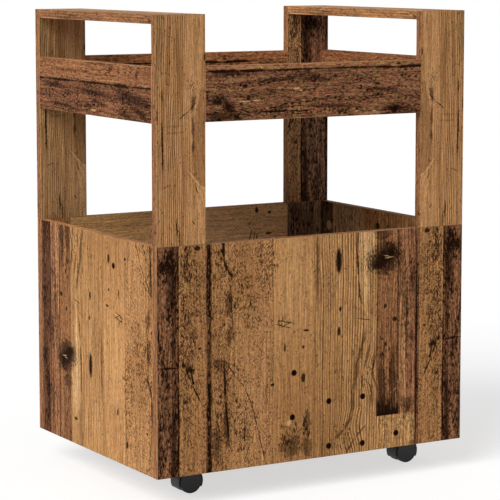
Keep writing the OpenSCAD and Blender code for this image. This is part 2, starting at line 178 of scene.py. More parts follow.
def grain(tree, place, width, length, detail=2.0, turn=0.0, seed=0.0, out="Fac"):
    """Noise with streaks of about width by length mm. The streaks run along t, turned by some degrees."""
    local = from_box(tree, place, (0, 0, seed), width, length, turn)
    return put(tree, "TexNoise", {"Vector": local, "Scale": 1.0, "Detail": detail}, out=out)


def scatter(tree, place, width, length, turn, seed):
    """How near the next of many scattered short strokes is: 1 in the middle of a stroke, less around it."""
    local = from_box(tree, place, (0, 0, seed), width, length, turn)
    far = put(tree, "TexVoronoi", {"Vector": local, "Scale": 1.0}, out="Distance")
    return put(tree, "Math", {0: 1.0, 1: far}, operation="SUBTRACT")


def blots(tree, place, spots):
    """Soft round spots, 1 in the middle and 0 at the edge. A spot is (s, t, half width, half height), and
    a turn in degrees where it is turned."""
    total = None
    for s, t, *box in spots:
        local = from_box(tree, place, (s, t, 0), *box)
        spot = put(tree, "TexGradient", {"Vector": local}, out="Fac", gradient_type="SPHERICAL")
        total = put(tree, "Math", {0: total, 1: spot}, operation="MAXIMUM") if total else spot
    return total


def strokes(tree, place, lines):
    """Thin tapering strokes through the points of each line. A line is (half width, point, point, ...)."""
    overlap = 0.72
    spots = []
    for half_w, *points in lines:
        for (s0, t0), (s1, t1) in zip(points, points[1:]):
            length = hypot(s1 - s0, t1 - t0)
            turn = degrees(atan2(t1 - t0, s1 - s0))
            spots.append(((s0 + s1) / 2, (t0 + t1) / 2, overlap * length, half_w, turn))
    return blots(tree, place, spots)


def plank_number(tree, position, starts):
    """Counts the joints that lie before a position, and marks the joints themselves."""
    number = 0.0
    joint = 0.0
    for start in starts[1:]:
        passed = put(tree, "Math", {0: position, 1: float(start)}, operation="GREATER_THAN")
        number = put(tree, "Math", {0: passed, 1: number}, operation="ADD")
        near = put(tree, "Math", {0: position, 1: float(start), 2: JOINT_HALF_MM}, operation="COMPARE")
        joint = put(tree, "Math", {0: near, 1: joint}, operation="MAXIMUM")
    return put(tree, "Math", {0: number, 1: 0.5}, operation="ADD"), joint


def per_plank(tree, number, colours):
    """A colour for each plank, picked by its number."""
    share = put(tree, "Math", {0: number, 1: float(len(colours))}, operation="DIVIDE")
    out = put(tree, "ValToRGB", {"Fac": share})
    ramp = out.node.color_ramp
    ramp.interpolation = "CONSTANT"
    ramp.elements.remove(ramp.elements[1])
    for i, colour in enumerate(colours):
        stop = ramp.elements[0] if i == 0 else ramp.elements.new(i / len(colours))
        stop.color = colour
    return out


# %% [markdown]
# The inks of the print are few: the brown of late wood, the deep brown of flecks, the near-black of dirt in
# cracks and holes, and a pale tan where the wood was chipped. Laying them one over another, each with its
# own mask, is what a printer does with plates. Year rings rise slowly and end at once, so each one is a
# saw tooth, and a random number per tooth keeps them from looking ruled.

# %% Worn wood
LATE_WOOD = "#5a3418"
FLECK = "#3c2110"
DIRT = "#160803"
PALE = "#e0b27c"
RING_MM = 5.0
FIBRE_MM = (1.5, 38)
FLECK_MM = (3.6, 9.0, 33)
STAIN_MM = (3.2, 10)
HUES = (0.488, 0.511)
# three noises of mean 0.5 are added and swing round this
THREE_MEANS = 1.5
STREAK_CONTRAST = 3.2
GRIT_CONTRAST = 2.6
DARKEST = 0.2


def step_up(tree, value, start, end, top=1.0):
    """A soft step from 0 to top while the value goes from start to end."""
    return put(tree, "MapRange", {"Value": value, "From Min": start, "From Max": end, "To Max": top},
               interpolation_type="SMOOTHSTEP")


def ink(tree, colour, mask, tint):
    """Prints a tint over the colour where the mask is 1."""
    return put(tree, "Mix", {"Factor": mask, "A": colour, "B": hex_colour(tint)}, data_type="RGBA")


def worn_wood(tree, place, bend, tone, wear, ring=RING_MM, fleck=FLECK_MM, fibre=FIBRE_MM, stain=STAIN_MM,
              hues=HUES, drift_mm=(4, 9)):
    """Lays drift, fibre, rings, flecks and stains over a tone. bend moves the grain sideways, in mm.
    wear is how much there is of ridges, flecks, stains and streaks, each from 0 to about 1."""
    ridges, flecks, stains, streaks = wear
    across = put(tree, "CombineXYZ", {"X": bend})
    flow = put(tree, "VectorMath", {0: place, 1: across}, operation="ADD")

    drift = grain(tree, place, *drift_mm, detail=5, seed=3)
    hue = put(tree, "MapRange", {"Value": drift, "From Min": 0.3, "From Max": 0.7, "To Min": hues[0],
                                  "To Max": hues[1]})
    strand = grain(tree, flow, *fibre, detail=3, seed=1)
    cloud = grain(tree, place, 4, 9, detail=5, seed=9)
    broad = grain(tree, flow, 4.5, 160, detail=3, seed=21)
    value = strand
    for layer in (cloud, broad, -THREE_MEANS):
        value = put(tree, "Math", {0: value, 1: layer}, operation="ADD")
    value = put(tree, "Math", {0: value, 1: STREAK_CONTRAST}, operation="MULTIPLY")
    value = put(tree, "Math", {0: value, 1: streaks, 2: 1.0}, operation="MULTIPLY_ADD")
    grit = grain(tree, place, 1.7, 2.6, detail=2, turn=fleck[2], seed=41)
    grit = put(tree, "Math", {0: grit, 1: GRIT_CONTRAST, 2: -GRIT_CONTRAST / 2}, operation="MULTIPLY_ADD")
    value = put(tree, "Math", {0: grit, 1: flecks, 2: value}, operation="MULTIPLY_ADD")
    value = put(tree, "Math", {0: value, 1: DARKEST}, operation="MAXIMUM")
    colour = put(tree, "HueSaturation", {"Color": tone, "Hue": hue, "Value": value})

    turns = put(tree, "SeparateXYZ", {"Vector": flow}, out="X")
    turns = put(tree, "Math", {0: turns, 1: ring}, operation="DIVIDE")
    year = put(tree, "Math", {0: turns}, operation="FLOOR")
    strength = put(tree, "TexWhiteNoise", {"W": year}, out="Value", noise_dimensions="1D")
    strength = put(tree, "Math", {0: strength, 1: 0.6, 2: 0.4}, operation="MULTIPLY_ADD")
    late = step_up(tree, put(tree, "Math", {0: turns}, operation="FRACT"), 0.3, 0.9)
    patchy = put(tree, "Math", {0: cloud, 1: 3.0, 2: -0.5}, operation="MULTIPLY_ADD")
    for share in (strength, ridges, patchy):
        late = put(tree, "Math", {0: late, 1: share}, operation="MULTIPLY")
    colour = ink(tree, colour, late, LATE_WOOD)

    width, length, turn = fleck
    falling = scatter(tree, place, width, length, turn, 4)
    rising = scatter(tree, place, width, length, -turn, 14)
    spot = put(tree, "Math", {0: falling, 1: rising}, operation="MAXIMUM")
    density = grain(tree, place, 12, 24, detail=3, seed=5)
    for layer, share in ((cloud, 0.9), (density, 0.55), (flecks, 0.17)):
        spot = put(tree, "Math", {0: layer, 1: share, 2: spot}, operation="MULTIPLY_ADD")
    dark = step_up(tree, spot, 1.51, 1.76, 0.78)
    colour = ink(tree, colour, dark, FLECK)

    dirt = grain(tree, flow, *stain, detail=6, seed=6)
    patch = grain(tree, flow, 15, 60, detail=2, seed=31)
    for layer, share in ((patch, 0.6), (stains, 0.25)):
        dirt = put(tree, "Math", {0: layer, 1: share, 2: dirt}, operation="MULTIPLY_ADD")
    dirt = step_up(tree, dirt, 0.94, 1.12, 0.96)
    colour = ink(tree, colour, dirt, DIRT)
    depth = put(tree, "Math", {0: late, 1: dark}, operation="MAXIMUM")
    depth = put(tree, "Math", {0: depth, 1: dirt}, operation="MAXIMUM")
    return colour, depth


# %% [markdown]
# ## The wall sheet
# The bin's walls are cut from one decor. The front shows it upright, the left side shows it turned by half
# a turn, and the same burnt knot, slit and nail holes turn up on both. So it is drawn once, as a node group
# in the sheet's own millimetres, and each board only says how it lies on the sheet.

# %% Planks and marks of the wall sheet
SMOOTH_PINE = "#be8c59"
RIDGED_PINE = "#c4935f"
FLECKED_PINE = "#b68556"
BROWN_PLANK = "#9b6b46"
RED_PLANK = "#9c6b4a"
MAROON_PLANK = "#8b6042"
DARK_PLANK = "#7c5238"
BLACK_PLANK = "#5f3d29"
OLIVE_PLANK = "#cda97a"
GREY_PLANK = "#bd9c74"
ASH_PLANK = "#7c6751"
PALE_ASH = "#ab9474"
LET_IN_PINE = "#b78a58"
WORN_PALE = "#dcb07c"
WORN_TAN = "#c59663"
DULLED = "#95673c"
YELLOWER_TAN = "#ac7f43"

# start of the plank in mm, its tone, and how much it has of ridges, flecks, stains and streaks
WALL_PLANKS = [
    (-160, BLACK_PLANK, (0.3, 0.6, 0.9, 0.5)), (-134, MAROON_PLANK, (0.5, 0.8, 0.72, 1.0)),
    (-92, BLACK_PLANK, (0.3, 0.8, 0.8, 0.9)), (-80, FLECKED_PINE, (0.1, 0.9, 0.15, 0.5)),
    (-30, RED_PLANK, (0.4, 0.4, 0.4, 0.7)), (10, BROWN_PLANK, (0.4, 0.5, 0.3, 0.7)),
    (55, BLACK_PLANK, (0.4, 0.5, 0.7, 0.7)), (90, RED_PLANK, (0.2, 0.4, 0.5, 0.9)),
    (92.5, BLACK_PLANK, (0.4, 0.8, 1.0, 0.8)), (99, RED_PLANK, (0.2, 0.4, 0.4, 0.9)),
    (101, FLECKED_PINE, (0.1, 0.75, 0.0, 0.45)),
    (217, SMOOTH_PINE, (0.18, 0.12, 0.0, 0.42)), (297, RIDGED_PINE, (0.95, 0.16, 0.0, 0.5)),
    (423, BROWN_PLANK, (0.7, 0.5, 0.35, 0.8)), (466, RED_PLANK, (0.6, 0.4, 0.3, 1.0)),
    (502, DARK_PLANK, (0.7, 0.5, 0.5, 1.0)),
    (510, BLACK_PLANK, (0.7, 0.5, 0.66, 1.2)), (531, DARK_PLANK, (0.7, 0.5, 0.45, 1.0)),
    (543, RIDGED_PINE, (0.6, 0.5, 0.0, 0.6)),
    (640, SMOOTH_PINE, (0.3, 0.4, 0.0, 0.5)), (700, BROWN_PLANK, (0.4, 0.4, 0.2, 0.6)),
    (742, OLIVE_PLANK, (0.1, 0.2, 0.0, 0.4)),
    (1196, ASH_PLANK, (0.7, 0.4, 0.6, 0.9)), (1253, PALE_ASH, (0.5, 0.3, 0.45, 0.7)),
    (1280, ASH_PLANK, (0.5, 0.4, 0.85, 0.8)), (1341, GREY_PLANK, (0.3, 0.4, 0.1, 0.9)),
    (1450, SMOOTH_PINE, (0.5, 0.5, 0.3, 0.7)), (1530, FLECKED_PINE, (0.6, 0.3, 0.1, 0.8))]
NAIL_REACH_MM = 7.5
NAIL_HOLES = [(258, 228), (255, 303), (327, 283), (395, 282), (327, 360), (395, 363), (464, 353)]
SMALL_KNOTS = [(276, 186, 3, 4), (240, 184, 3, 10), (282, 158, 8, 3, 8), (460, 154, 6, 6),
               (440, 130, 4, 7, 20), (347, 166, 5, 11), (349, 128, 4, 6), (216, 244, 5, 4),
               (276, 238, 6, 11), (346, 46, 9, 29), (-42, 170, 5, 3), (-46, 6, 8, 6), (211, -66, 6, 8),
               (140, -34, 5, 3), (245, -17, 4, 8), (405, -57, 8, 4), (1128, 10, 5, 8), (1156, 16, 5, 4),
               (1154, 55, 10, 3), (1495, 28, 9, 8)]
BURNT = [(438, 48, 56, 34, -10), (426, 58, 36, 24, 10), (452, 38, 36, 34), (-108, 34, 26, 26)]
SCORCHED = [(434, 4, 26, 22), (444, 64, 34, 22), (436, 30, 30, 22), (528, 36, 14, 26), (512, -21, 14, 22),
            (434, 268, 14, 60), (455, 255, 12, 70), (494, 186, 12, 12), (496, 90, 12, 40),
            (284, 364, 14, 20), (262, 340, 12, 18), (132, 102, 9, 34), (135, 152, 9, 28),
            (110, 332, 14, 54), (128, 300, 10, 60), (112, 200, 15, 16), (484, 150, 7, 90),
            (496, -40, 9, 90), (486, 302, 22, 18), (-94, 70, 12, 60), (-118, 330, 10, 60),
            (-92, 320, 10, 90), (436, 50, 62, 40, -6), (422, 52, 30, 30), (284, 316, 12, 34),
            (282, 354, 18, 24), (250, 352, 34, 30)]
DULL_ZONES = [(257, 330, 60, 210), (320, 300, 60, 200), (114, 200, 44, 500), (160, 60, 60, 120),
              (-56, 200, 46, 700)]
YELLOWER_ZONES = [(820, 60, 170, 600)]
# middle and half width of the charred end, and how far down its flames start and are solid
CHARRED_END = (446.0, 23.0, 276, 312)
BRUISED = [(116, 60, 34, 160), (120, 280, 36, 180), (150, 70, 36, 120, -20), (240, 142, 22, 12),
           (250, 350, 50, 70), (283, 325, 18, 60), (262, 345, 24, 34), (-64, 120, 26, 260),
           (160, 300, 30, 90, -14), (364, 248, 24, 14), (410, 240, 20, 44), (350, 350, 34, 34, 30),
           (205, 20, 30, 120)]
CRACKS = [(1.1, (150, 228), (162, 242), (176, 272), (188, 316), (203, 374)),
          (3.4, (122, -20), (124, 30), (131, 48), (141, 58)), (1.6, (136, 70), (140, 140)),
          (3.2, (124, 192), (126, 260), (133, 330)), (1.2, (124, 192), (150, 228)),
          (1.0, (222, 143), (252, 152)), (1.0, (226, 136), (262, 146)), (0.8, (230, 150), (258, 139)),
          (2.0, (-58, 196), (-54, 232), (-41, 257)), (1.6, (-78, 142), (-68, 152), (-79, 168)),
          (2.2, (382, 24), (386, 80), (389, 118)), (1.0, (385, 147), (411, 152)),
          (1.8, (-121, 196), (-82, 199)), (1.2, (476, 80), (500, 48)), (0.9, (162, 368), (173, 336)),
          (1.6, (132, -80), (122, -20)), (2.4, (505, 20), (505, 380)),
          (2.6, (-82, 240), (-80, 300), (-83, 366)), (1.8, (1111, 72), (1117, 46)),
          (1.6, (1119, 74), (1125, 48)), (1.4, (1126, 70), (1130, 52)),
          (1.6, (467, -150), (466, 40), (467, 260)), (3.2, (345, 26), (347, 66))]
SOFT_STROKES = [(5.0, (400, 170), (386, 220), (378, 270), (373, 312)),
                (5.0, (373, 312), (358, 336), (338, 350)), (5.0, (303, -10), (303, 130)),
                (3.0, (392, 190), (376, 250), (371, 300)), (4.0, (384, -10), (382, 30)),
                (3.0, (412, 186), (396, 240), (390, 280)), (3.0, (404, 330), (380, 352), (360, 378)),
                (3.0, (420, 200), (414, 250), (412, 300))]
CHIPS = [(248, 312, 7, 8), (486, 330, 3, 5), (448, 47, 13, 1.4, -6), (442, 44, 8, 1.2, 12)]
LIGHT_ZONES = [(402, 16, 21, 90), (399, 80, 13, 60)]
TAN_STREAKS = [(476, 210, 10, 200), (258, 60, 46, 120)]
# middle and half width of the stretch whose grain runs across it
CROSSWISE = (969.0, 227.0)
LET_IN_MIDDLE, LET_IN_HALF, LET_IN_TOP = 463.0, 40.0, 320.0
GRAIN_BENDS = [(410, 244, 22, 40), (366, 336, 34, 40, 30), (1390, 20, 40, 40)]
print(len(WALL_PLANKS), "planks")

# %% The wall sheet as a node group
def sheet_group(name):
    """An empty node group from a place on the sheet to the print's colour and depth."""
    tree = bpy.data.node_groups.new(name, "ShaderNodeTree")
    tree.interface.new_socket("Place", in_out="INPUT", socket_type="NodeSocketVector")
    tree.interface.new_socket("Color", in_out="OUTPUT", socket_type="NodeSocketColor")
    tree.interface.new_socket("Depth", in_out="OUTPUT", socket_type="NodeSocketFloat")
    return tree, tree.nodes.new("NodeGroupInput").outputs["Place"]


def ragged(tree, place, reach, size):
    """The place pushed about by a fine noise, so that what is drawn there gets a ragged outline."""
    push = grain(tree, place, size, size, detail=3, seed=7, out="Color")
    push = put(tree, "VectorMath", {0: push, 1: (0.5, 0.5, 0.5)}, operation="SUBTRACT")
    push = put(tree, "VectorMath", {0: push, 1: (reach, reach, 0)}, operation="MULTIPLY")
    return put(tree, "VectorMath", {0: place, 1: push}, operation="ADD")


def plank_tones(tree, place, reach, size, planks):
    """Each plank's tone, its ridges, flecks, stains and streaks, and the joints. reach and size say how
    ragged the joints are, in mm."""
    uneven = put(tree, "SeparateXYZ", {"Vector": ragged(tree, place, reach, size)}, out="X")
    number, joint = plank_number(tree, uneven, [start for start, *_ in planks])
    tone = per_plank(tree, number, [hex_colour(tone) for _, tone, _ in planks])
    character = per_plank(tree, number, [wear for _, _, wear in planks])
    parts = put(tree, "SeparateColor", {"Color": character}).node.outputs
    return tone, (parts["Red"], parts["Green"], parts["Blue"], character.node.outputs["Alpha"]), joint


def meander(tree, place, width, length, reach, detail=1):
    """How far the grain wanders sideways, by half of reach to either side at most, in mm."""
    drift = grain(tree, place, width, length, detail=detail, seed=8)
    return put(tree, "Math", {0: drift, 1: reach, 2: -reach / 2}, operation="MULTIPLY_ADD")


def zones(tree, place, spots, full, top):
    """Soft zones, which rise to top where a spot is as strong as full."""
    return step_up(tree, blots(tree, place, spots), 0.0, full, top)


def brushed(tree, place, lines, reach, size, top, start=0.0, full=0.7):
    """Soft strokes with ragged outlines."""
    return step_up(tree, strokes(tree, ragged(tree, place, reach, size), lines), start, full, top)


def burns(tree, place, spots, top, full=1.2):
    """Burnt patches: soft spots that the grain breaks up into specks toward their edges. The larger full
    is, the further the specks reach in."""
    spot = blots(tree, ragged(tree, place, 16, 8), spots)
    specks = grain(tree, place, 2.0, 5.0, detail=4, seed=19)
    spot = put(tree, "Math", {0: specks, 1: 1.3, 2: spot}, operation="MULTIPLY_ADD")
    return step_up(tree, spot, 0.9, full, top)


def lay_marks(tree, place, colour, depth, nails=(), knots=(), burnt=(), cracks=(), chips=()):
    """Lays single marks over the wood: burnt patches, knots, cracks and holes, and pale chips."""
    fine_place = ragged(tree, place, 4, 4)
    masks = []
    if burnt:
        masks.append(burns(tree, place, burnt, 0.95, 1.5))
    if knots:
        masks.append(step_up(tree, blots(tree, fine_place, knots), 0.1, 0.5, 0.92))
    if cracks:
        masks.append(step_up(tree, strokes(tree, fine_place, cracks), 0.05, 0.5, 0.92))
    if nails:
        holes = blots(tree, place, [(s, t, NAIL_REACH_MM, NAIL_REACH_MM) for s, t in nails])
        masks.append(step_up(tree, holes, 0.18, 0.42))
    for mask in masks:
        depth = put(tree, "Math", {0: depth, 1: mask}, operation="MAXIMUM")
        colour = ink(tree, colour, mask, DIRT)
    if chips:
        colour = ink(tree, colour, step_up(tree, blots(tree, fine_place, chips), 0.1, 0.7, 0.75), PALE)
    return colour, depth


def close_group(tree, colour, depth):
    """Links the finished print to the group's outputs."""
    end = tree.nodes.new("NodeGroupOutput")
    tree.links.new(colour, end.inputs["Color"])
    tree.links.new(depth, end.inputs["Depth"])
    print(tree.name, "has", len(tree.nodes), "nodes")


wall_sheet, place = sheet_group("wall_sheet")
wander = meander(wall_sheet, place, 60, 170, 14)
swell = put(wall_sheet, "Math", {0: blots(wall_sheet, place, GRAIN_BENDS), 1: 11, 2: wander},
            operation="MULTIPLY_ADD")
tone, (ridges, flecks, stains, streaks), joint = plank_tones(wall_sheet, place, 1.2, 6, WALL_PLANKS)

# %% The short piece that was let in, and the zones of the wall sheet
s = put(wall_sheet, "SeparateXYZ", {"Vector": place}, out="X")
t = put(wall_sheet, "SeparateXYZ", {"Vector": place}, out="Y")
let_in = put(wall_sheet, "Math", {0: s, 1: LET_IN_MIDDLE, 2: LET_IN_HALF}, operation="COMPARE")
low = put(wall_sheet, "Math", {0: t, 1: LET_IN_TOP}, operation="GREATER_THAN")
let_in = put(wall_sheet, "Math", {0: let_in, 1: low}, operation="MULTIPLY")
tone = ink(wall_sheet, tone, let_in, LET_IN_PINE)
pale = zones(wall_sheet, place, LIGHT_ZONES, 0.6, 0.7)
tone = ink(wall_sheet, tone, pale, WORN_PALE)
tone = ink(wall_sheet, tone, zones(wall_sheet, place, TAN_STREAKS, 0.6, 0.4), WORN_TAN)
tone = ink(wall_sheet, tone, zones(wall_sheet, place, DULL_ZONES, 0.8, 0.5), DULLED)
# a yellower, darker tone over a zone on the left half of the front and back panels' inner faces
tone = ink(wall_sheet, tone, zones(wall_sheet, place, YELLOWER_ZONES, 0.8, 0.6), YELLOWER_TAN)
bruised = zones(wall_sheet, place, BRUISED, 0.7, 0.55)
flecks = put(wall_sheet, "Math", {0: flecks, 1: bruised}, operation="ADD")
for zone, share in ((let_in, -0.4), (pale, -0.7)):
    ridges = put(wall_sheet, "Math", {0: zone, 1: share, 2: ridges}, operation="MULTIPLY_ADD")
for zone, share in ((bruised, 0.8), (let_in, -0.4)):
    stains = put(wall_sheet, "Math", {0: zone, 1: share, 2: stains}, operation="MULTIPLY_ADD")
crossed = put(wall_sheet, "Math", {0: s, 1: CROSSWISE[0], 2: CROSSWISE[1]}, operation="COMPARE")
turned = put(wall_sheet, "CombineXYZ", {"X": t, "Y": s})
laid = put(wall_sheet, "Mix", {"Factor": crossed, "A": place, "B": turned}, data_type="VECTOR")
colour, depth = worn_wood(wall_sheet, laid, swell, tone, (ridges, flecks, stains, streaks))
joint = put(wall_sheet, "Math", {0: joint, 1: 0.5}, operation="MULTIPLY")
colour = ink(wall_sheet, colour, joint, DIRT)

# %% Scorch marks, then the single marks
colour = ink(wall_sheet, colour, burns(wall_sheet, place, SCORCHED, 0.6), DIRT)
colour = ink(wall_sheet, colour, brushed(wall_sheet, place, SOFT_STROKES, 8, 9, 0.72), FLECK)
middle, reach, tips, solid = CHARRED_END
flames = grain(wall_sheet, place, 3.5, 26, detail=3, seed=12)
flames = put(wall_sheet, "Math", {0: flames, 1: 70.0, 2: -35.0}, operation="MULTIPLY_ADD")
flames = put(wall_sheet, "Math", {0: flames, 1: t}, operation="ADD")
charred = step_up(wall_sheet, flames, tips, solid, 0.97)
within = put(wall_sheet, "Math", {0: s, 1: middle, 2: reach}, operation="COMPARE")
charred = put(wall_sheet, "Math", {0: charred, 1: within}, operation="MULTIPLY")
above = put(wall_sheet, "Math", {0: t, 1: LET_IN_TOP}, operation="LESS_THAN")
charred = put(wall_sheet, "Math", {0: charred, 1: above}, operation="MULTIPLY")
colour = ink(wall_sheet, colour, charred, DIRT)
colour, depth = lay_marks(wall_sheet, place, colour, depth, NAIL_HOLES, SMALL_KNOTS, BURNT, CRACKS, CHIPS)
close_group(wall_sheet, colour, depth)

# %% [markdown]
# ## The upright sheet
# The uprights and handle rails carry one light pine board: close ridges along its outer half, calmer wood
# inside, and a long brown tongue that runs out at the inner edge, with a pale rim below.

# %% The upright sheet as a node group
UPRIGHT_PINE = "#c69362"
UPRIGHT_STREAK = "#97693c"
UPRIGHT_DULL = "#7c6a44"
TONGUE_BROWN = "#7f5633"
UPRIGHT_CRACKS = [(1.9, (11, 119), (11, 141)), (2.0, (11, 168), (12, 242)), (1.2, (2, 148), (2, 168)),
                  (1.3, (42, 166), (60, 154), (73, 140)), (1.4, (36, 328), (38, 354)),
                  (1.4, (41, 340), (42, 374)), (1.2, (72, 276), (76, 288)), (1.2, (66, 330), (70, 338))]
TONGUE_SHADE = [(4.0, (67, 128), (66, 160), (68, 200), (67, 222)), (2.5, (73, 128), (67, 150))]
UPRIGHT_KNOTS = [(89, 68, 3, 9), (11.5, 236, 2.5, 4)]
TONGUE = [(92, 195, 30, 100, 4)]
TONGUE_RIM = [(2.2, (60, 252), (70, 264), (80, 275), (92, 281))]
FAINT_ROWS = [(3.0, (12, 178), (54, 177)), (3.0, (14, 189), (54, 187))]
DULL_EDGE = [(2, 40, 24, 100)]
UPRIGHT_BRUISE = [(66, 115, 26, 30)]

upright_sheet, place = sheet_group("upright_sheet")
wander = meander(upright_sheet, place, 30, 150, 10)
tongue = blots(upright_sheet, place, TONGUE)
swell = put(upright_sheet, "Math", {0: tongue, 1: 14, 2: wander}, operation="MULTIPLY_ADD")
across = put(upright_sheet, "SeparateXYZ", {"Vector": place}, out="X")
close_ridges = put(upright_sheet, "MapRange", {"Value": across, "From Min": 66, "From Max": 44, "To Min": 0.1,
                                               "To Max": 1.0})
broad = grain(upright_sheet, place, 7, 190, detail=2, seed=21)
broad = step_up(upright_sheet, broad, 0.45, 0.62, 0.6)
tone = ink(upright_sheet, hex_colour(UPRIGHT_PINE), broad, UPRIGHT_STREAK)
tone = ink(upright_sheet, tone, zones(upright_sheet, place, DULL_EDGE, 0.8, 0.4), UPRIGHT_DULL)
tone = ink(upright_sheet, tone, step_up(upright_sheet, tongue, 0.1, 0.2, 0.52), TONGUE_BROWN)
bruised = zones(upright_sheet, place, UPRIGHT_BRUISE, 0.8, 0.5)
flecks = put(upright_sheet, "Math", {0: bruised, 1: 0.2}, operation="ADD")
colour, depth = worn_wood(upright_sheet, place, swell, tone, (close_ridges, flecks, 0.0, 0.36), ring=3.5,
                          fleck=(2.4, 8.0, 10))
colour = ink(upright_sheet, colour, brushed(upright_sheet, place, TONGUE_SHADE, 5, 8, 0.78), FLECK)
colour = ink(upright_sheet, colour, brushed(upright_sheet, place, FAINT_ROWS, 4, 3, 0.3, 0.1, 0.8), FLECK)
colour, depth = lay_marks(upright_sheet, place, colour, depth, knots=UPRIGHT_KNOTS, cracks=UPRIGHT_CRACKS)
colour = ink(upright_sheet, colour, brushed(upright_sheet, place, TONGUE_RIM, 4, 6, 0.6, 0.05, 0.6), PALE)
close_group(upright_sheet, colour, depth)

# %% [markdown]
# ## The tray sheet
# The tray's boards are the darkest: an old beam with its grain along the board, a tan strip over a black
# crack, and rot, flecks and torn fibres below it. Here s is the depth under the crack and t runs along.

# %% The tray sheet as a node group
BEAM_TAN = "#9d6e4a"
BEAM_BROWN = "#8c6143"
TRAY_PLANKS = [(-60, BEAM_TAN, (0.3, 0.25, 0.3, 0.8)), (0, BEAM_BROWN, (0.3, 0.75, 0.58, 0.85))]
TRAY_FIBRE_MM = (1.8, 12)
TRAY_STAIN_MM = (2.4, 7)
TRAY_HUES = (0.48, 0.516)
TRAY_CRACKS = [(3.6, (0, 0), (0.5, 60), (0.5, 115)), (2.4, (0.5, 115), (0, 230), (0, 330)),
               (3.6, (0, 320), (1.5, 370), (0.5, 430)), (1.8, (68, 88), (68, 158)),
               (2.2, (70, 172), (68, 200)), (2.0, (0.5, -60), (0, 0)), (3.6, (0, 560), (0.5, 622)),
               (2.8, (0.5, 620), (0, 750), (0, 890)), (4.2, (0, 880), (1, 942)), (2.0, (0, 940), (0, 1050))]
TRAY_SOFT = [(7.0, (21, 96), (16, 140), (12, 176), (2, 200)), (6.0, (16, 176), (20, 240)),
             (6.0, (3, 4), (3, 80)), (7.0, (40, 30), (62, 46), (74, 60)), (8.0, (70, 0), (74, 60)),
             (6.0, (44, 0), (52, 24)), (7.0, (68, 340), (72, 390)), (5.0, (36, 300), (40, 380)),
             (6.0, (60, 200), (66, 300)), (8.0, (12, 750), (20, 870)), (7.0, (8, 620), (12, 700)),
             (9.0, (22, 930), (30, 1030)), (6.0, (44, 900), (50, 960)), (6.0, (-20, 868), (-30, 884)),
             (5.0, (-12, 968), (-28, 969)), (5.0, (40, 640), (44, 740)), (10.0, (16, 900), (20, 1010)),
             (9.0, (30, 950), (52, 1010)), (8.0, (52, 930), (60, 1000)), (6.0, (28, 800), (36, 860))]
TRAY_CHARRED = [(46, 24, 16, 22), (60, 42, 18, 26), (82, 20, 12, 32), (76, 60, 12, 20), (72, 366, 14, 24),
                (82, 346, 8, 24), (64, 980, 14, 40)]
TRAY_CHIPS = [(50, 72, 2, 18), (49, 95, 2, 12), (32, 172, 3, 10), (35, 180, 2, 5), (73, 290, 2, 7),
              (74, 325, 2, 5), (46, 812, 3, 18), (72, 900, 4, 26), (73, 960, 4, 30)]

tray_sheet, place = sheet_group("tray_sheet")
wander = meander(tray_sheet, place, 22, 90, 16, detail=2)
tone, wear, _ = plank_tones(tray_sheet, place, 2, 12, TRAY_PLANKS)
colour, depth = worn_wood(tray_sheet, place, wander, tone, wear, ring=7.0, fleck=(2.6, 5.5, 35),
                          fibre=TRAY_FIBRE_MM, stain=TRAY_STAIN_MM, hues=TRAY_HUES, drift_mm=(9, 20))
colour = ink(tray_sheet, colour, brushed(tray_sheet, place, TRAY_SOFT, 14, 6, 0.7), DIRT)
colour, depth = lay_marks(tray_sheet, place, colour, depth, burnt=TRAY_CHARRED, cracks=TRAY_CRACKS,
                          chips=TRAY_CHIPS)
close_group(tray_sheet, colour, depth)

# %% [markdown]
# ## The edge band
# A thin plastic strip is ironed on round each board. It is printed to match, but plainer: orange tan with
# streaks along the board and a few dark specks.

# %% The edge band as a node group
BAND_TAN = "#9c6d49"

edge_band, place = sheet_group("edge_band")
colour, depth = worn_wood(edge_band, place, 0.0, hex_colour(BAND_TAN), (0.5, 0.5, 0.2, 0.7),
                          fleck=(2.2, 12.0, 6))
close_group(edge_band, colour, depth)

# %% [markdown]
# ## Raw chipboard
# The walls of the bores aren't covered, so they show the pressed wood chips: flat splinters of a few
# millimetres in light and dark tones, glued together.

# %% Chipboard as a node group
CHIP_MM = 2.6
DARK_CHIP = "#a67d4e"
LIGHT_CHIP = "#d2b182"

chipboard, point = sheet_group("chipboard")
to_chips = put(chipboard, "VectorMath", {0: point, "Scale": 1 / (CHIP_MM * mm)}, operation="SCALE")
chips = put(chipboard, "TexVoronoi", {"Vector": to_chips, "Scale": 1.0}).node.outputs
shade = put(chipboard, "SeparateXYZ", {"Vector": chips["Position"]}, out="Z")
shade = put(chipboard, "TexWhiteNoise", {"W": shade}, out="Value", noise_dimensions="1D")
glued = ink(chipboard, hex_colour(DARK_CHIP), shade, LIGHT_CHIP)
close_group(chipboard, glued, chips["Distance"])

# %% [markdown]
# ## Laying the sheets on the boards
# A board has two broad faces and four edges, and the surface normal tells them apart. Each broad face says
# which way on the cart s and t point and where on the sheet the cart's origin falls. The melamine over the
# print is satin, and the grain is pressed into it by a few hundredths of a millimetre.

# %% Board finish
SATIN = 0.55
EDGE_RUBBED_HIGHLIT = "#bf925f"
MELAMINE_SPECULAR = 0.02
PLAIN = (1, 1, 1)
AS_PRINTED = (PLAIN, PLAIN, PLAIN)
IN_MM = (1 / mm, 1 / mm, 1 / mm)
PRESSED_MM = 0.1
SKIN_MM = 0.2
NICK_MM = 2.4
RUBBED_HIGHLIGHT_MM = (-0.9, -1.3)


